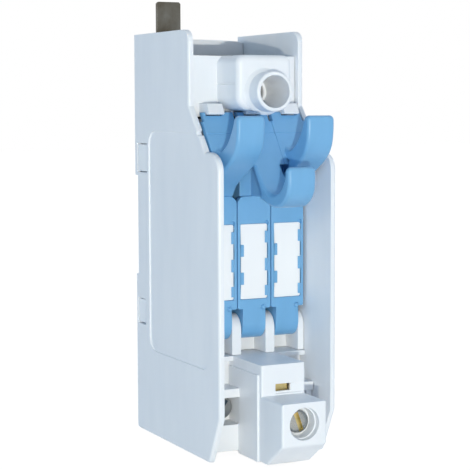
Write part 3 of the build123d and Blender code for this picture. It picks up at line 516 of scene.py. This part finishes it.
class TERMINAL_OT_housing(Operator):
    """Rounds and finishes the white housing mouldings"""
    bl_idname = "terminal.housing"
    bl_label = "Housing mouldings"

    def execute(self, context):
        edge = context.scene.terminal_mouldings.edge
        for node in ("left_side_cover", "right_side_cover", "base_frame", "top_hood", "bottom_hood"):
            finish_node(node, edge)
        return {"FINISHED"}


class TERMINAL_OT_levers(Operator):
    """Rounds and finishes the three blue levers"""
    bl_idname = "terminal.levers"
    bl_label = "Pull-down levers"

    def execute(self, context):
        mouldings = context.scene.terminal_mouldings
        for pole in POLES:
            mesh = merged_mesh(pole + "_lever")
            low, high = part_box(pole + "_lever")
            on_wall = 0.02 * MM
            # above the label plates the walls stand close, so that their joints hardly show
            for vertex in mesh.vertices:
                if vertex.co.z > mouldings.close_above:
                    if vertex.co.x - low[0] < on_wall:
                        vertex.co.x -= mouldings.close_by
                    elif high[0] - vertex.co.x < on_wall:
                        vertex.co.x += mouldings.close_by
            finish_node(pole + "_lever", mouldings.edge, mesh)
        return {"FINISHED"}


class TERMINAL_OT_labels(Operator):
    """Rounds and finishes the blank label plates"""
    bl_idname = "terminal.labels"
    bl_label = "Labels"

    def execute(self, context):
        for pole in POLES:
            finish_node(pole + "_label_plate", context.scene.terminal_mouldings.label_edge)
        return {"FINISHED"}


class TERMINAL_OT_conductors(Operator):
    """Finishes the stamped bars, blades, jaws and lower contacts"""
    bl_idname = "terminal.conductors"
    bl_label = "Conductors"

    def execute(self, context):
        metals = context.scene.terminal_metals
        for node in ("link_bar", "top_terminal_bar"):
            finish_node(node, metals.edge)
        for pole in POLES:
            for kind in ("_blade", "_upper_jaw", "_lower_contact"):
                finish_node(pole + kind, metals.thin_edge)
        return {"FINISHED"}


class TERMINAL_OT_cages(Operator):
    """Rounds the pressed edges of the clamp cages"""
    bl_idname = "terminal.cages"
    bl_label = "Clamp cages"

    def execute(self, context):
        for pole in ("top",) + POLES:
            finish_node(pole + "_clamp_cage", context.scene.terminal_metals.edge)
        return {"FINISHED"}


class TERMINAL_OT_screws(Operator):
    """Turns, slots and threads the four clamp screws"""
    bl_idname = "terminal.screws"
    bl_label = "Clamp screws"

    def execute(self, context):
        sizes = context.scene.terminal_screws
        tree = thread_tree()
        # each slot stands at its own angle, as a screwdriver left it
        for pole, turn in (("top", -8), ("left", -35), ("right", -70)):
            # their slots are nearly black with painted shade
            screw_piece(pole, tree, turn, "zinc_steel", "slot_painted_shade")
        # the screw in the round hole has a smaller, deeper head with a bright brass slot
        screw_piece("middle", tree, 20, "brass_screw", "slot_walls", sizes.seen_radius, sizes.seen_sink)
        return {"FINISHED"}


class TERMINAL_OT_foot(Operator):
    """Finishes the sliding rail foot and the leaf spring that it squeezes"""
    bl_idname = "terminal.foot"
    bl_label = "Rail foot"

    def execute(self, context):
        finish_node("rail_foot", context.scene.terminal_mouldings.foot_edge)
        spring = finish_node("rail_foot_spring", 0)
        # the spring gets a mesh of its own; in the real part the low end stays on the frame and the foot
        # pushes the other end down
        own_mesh(spring)
        return {"FINISHED"}


def sight_rays(tree):
    """Socket that is 1 for camera, mirror and glass rays, which see the white background."""
    path = add_node(tree, "ShaderNodeLightPath").outputs
    direct = add_node(tree, "ShaderNodeMath", {0: path["Is Camera Ray"], 1: path["Is Glossy Ray"]},
                      operation="MAXIMUM")
    every = add_node(tree, "ShaderNodeMath", {0: direct.outputs[0], 1: path["Is Transmission Ray"]},
                     operation="MAXIMUM")
    return every.outputs[0]


class TERMINAL_OT_stage(Operator):
    """Pale floor, cool surroundings and one small low lamp beside the camera"""
    bl_idname = "terminal.stage"
    bl_label = "Studio"

    def floor(self, scene):
        """White paper to the eye, with the object's shadow on it."""
        reach = 3.0
        mesh = bpy.data.meshes.new("floor_mesh")
        mesh.from_pydata([(-reach, -reach, 0), (reach, -reach, 0), (reach, reach, 0), (-reach, reach, 0)],
                         [], [(0, 1, 2, 3)])
        floor = bpy.data.objects.new("studio_floor", mesh)
        # a little below the object, so that no face of it lies in the floor
        floor.location.z = -0.3 * MM
        scene.collection.objects.link(floor)
        paper = bpy.data.materials.new("White paper")
        paper.use_nodes = True
        tree = paper.node_tree
        tree.nodes.clear()
        seen = sight_rays(tree)
        # a darker paper under the glow, so that a shadow still shows in what the camera sees
        tone = add_node(tree, "ShaderNodeMix", {
            0: seen, 6: linear("#F4F4F4"), 7: (0.2, 0.2, 0.2, 1)}, data_type="RGBA")
        diffuse = add_node(tree, "ShaderNodeBsdfDiffuse", {"Color": tone.outputs[2]})
        level = add_node(tree, "ShaderNodeMath", {0: seen, 1: 0.95}, operation="MULTIPLY")
        glow = add_node(tree, "ShaderNodeEmission", {
            "Color": linear("#FFFFFF"), "Strength": level.outputs[0]})
        total = add_node(tree, "ShaderNodeAddShader", {0: diffuse.outputs[0], 1: glow.outputs[0]})
        add_node(tree, "ShaderNodeOutputMaterial", {"Surface": total.outputs[0]})
        mesh.materials.append(paper)

    def surroundings(self, scene, studio):
        """White to the camera and in reflections, cool light on everything else."""
        world = bpy.data.worlds.new("Studio")
        scene.world = world
        world.use_nodes = True
        tree = world.node_tree
        tree.nodes.clear()
        seen = sight_rays(tree)
        # Object coordinates of the world are the direction of the ray, so each side has its own light
        way = add_node(tree, "ShaderNodeSeparateXYZ", {
            0: add_node(tree, "ShaderNodeTexCoord").outputs["Object"]})
        tone = (0.0, 0.0, 0.0, 1.0)
        for axis, end, colour in (("X", 1.0, studio.right), ("X", -1.0, studio.left),
                                  ("Y", -1.0, studio.front), ("Y", 1.0, studio.behind)):
            share = add_node(tree, "ShaderNodeMapRange", {
                0: way.outputs[axis], 1: 0.0, 2: end, 3: 0.0, 4: 1.0})
            tone = add_node(tree, "ShaderNodeMix", {0: share.outputs[0], 6: tone, 7: colour},
                            data_type="RGBA", blend_type="ADD").outputs[2]
        light = add_node(tree, "ShaderNodeBackground", {"Color": tone, "Strength": studio.around})
        white = add_node(tree, "ShaderNodeBackground", {"Color": linear("#FFFFFF"), "Strength": 1.0})
        mix = add_node(tree, "ShaderNodeMixShader", {0: seen, 1: light.outputs[0], 2: white.outputs[0]})
        add_node(tree, "ShaderNodeOutputWorld", {"Surface": mix.outputs[0]})

    def lamp(self, scene, studio):
        """Small and low, a little less to the left than the camera, so that it casts crisp bands."""
        data = bpy.data.lights.new("Key", "AREA")
        data.size = studio.key_size
        data.energy = studio.key
        data.color = (1.0, 0.97, 0.87)
        lamp = bpy.data.objects.new("Key", data)
        lamp.location = (-math.sin(studio.azimuth) * studio.distance,
                         -math.cos(studio.azimuth) * studio.distance, studio.height)
        middle_of_object = Vector((0, 0, 75 * MM))
        aim = middle_of_object - lamp.location
        lamp.rotation_euler = aim.to_track_quat("-Z", "Y").to_euler()
        scene.collection.objects.link(lamp)

    def execute(self, context):
        scene = context.scene
        scene.view_settings.view_transform = "Standard"
        self.floor(scene)
        self.surroundings(scene, scene.terminal_studio)
        self.lamp(scene, scene.terminal_studio)
        return {"FINISHED"}


class TERMINAL_OT_camera(Operator):
    """Camera in front, to the left, a little above the middle, looking 5 degrees down"""
    bl_idname = "terminal.camera"
    bl_label = "Camera"

    def execute(self, context):
        data = bpy.data.cameras.new("Camera")
        data.sensor_width = 36
        data.lens = 112.99
        data.clip_start = 0.01
        camera = bpy.data.objects.new("Camera", data)
        context.scene.collection.objects.link(camera)
        # place and turn that bring the straight edges of the solids onto those of the photograph
        place = Vector((-221.12, -446.29, 117.07)) * MM
        yaw, pitch, roll = math.radians(26.04), math.radians(5.115), math.radians(-0.178)
        back = Vector((-math.sin(yaw) * math.cos(pitch), -math.cos(yaw) * math.cos(pitch), math.sin(pitch)))
        level = Vector((math.cos(yaw), -math.sin(yaw), 0))
        above = back.cross(level)
        right = level * math.cos(roll) + above * math.sin(roll)
        up = above * math.cos(roll) - level * math.sin(roll)
        rows = [(right[i], up[i], back[i], place[i]) for i in range(3)]
        camera.matrix_world = Matrix((*rows, (0, 0, 0, 1)))
        context.scene.camera = camera
        return {"FINISHED"}


class TERMINAL_PT_panel(Panel):
    """Lists the steps and their sizes"""
    bl_idname = "TERMINAL_PT_panel"
    bl_label = "Disconnect terminal"
    bl_space_type = "VIEW_3D"
    bl_region_type = "UI"
    bl_category = "Terminal"

    def draw(self, context):
        column = self.layout.column()
        for group in (context.scene.terminal_mouldings, context.scene.terminal_metals,
                      context.scene.terminal_screws, context.scene.terminal_studio):
            for name in group.__annotations__:
                column.prop(group, name)
        for step in STEPS:
            column.operator(step.bl_idname)


GROUPS = {"terminal_mouldings": TerminalMouldings, "terminal_metals": TerminalMetals,
          "terminal_screws": TerminalScrews, "terminal_studio": TerminalStudio}
STEPS = (TERMINAL_OT_housing, TERMINAL_OT_levers, TERMINAL_OT_labels, TERMINAL_OT_conductors,
         TERMINAL_OT_cages, TERMINAL_OT_screws, TERMINAL_OT_foot, TERMINAL_OT_stage, TERMINAL_OT_camera)


def register():
    for kind in (*GROUPS.values(), *STEPS, TERMINAL_PT_panel):
        bpy.utils.register_class(kind)
    for name, kind in GROUPS.items():
        setattr(bpy.types.Scene, name, PointerProperty(type=kind))


def unregister():
    for name in GROUPS:
        delattr(bpy.types.Scene, name)
    for kind in (TERMINAL_PT_panel, *reversed(STEPS), *reversed(list(GROUPS.values()))):
        bpy.utils.unregister_class(kind)


def main():
    register()
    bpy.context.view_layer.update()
    FINISHES.update(make_materials(bpy.context.scene))
    for step in STEPS:
        group, name = step.bl_idname.split(".")
        getattr(getattr(bpy.ops, group), name)()


if __name__ == "__main__":
    main()
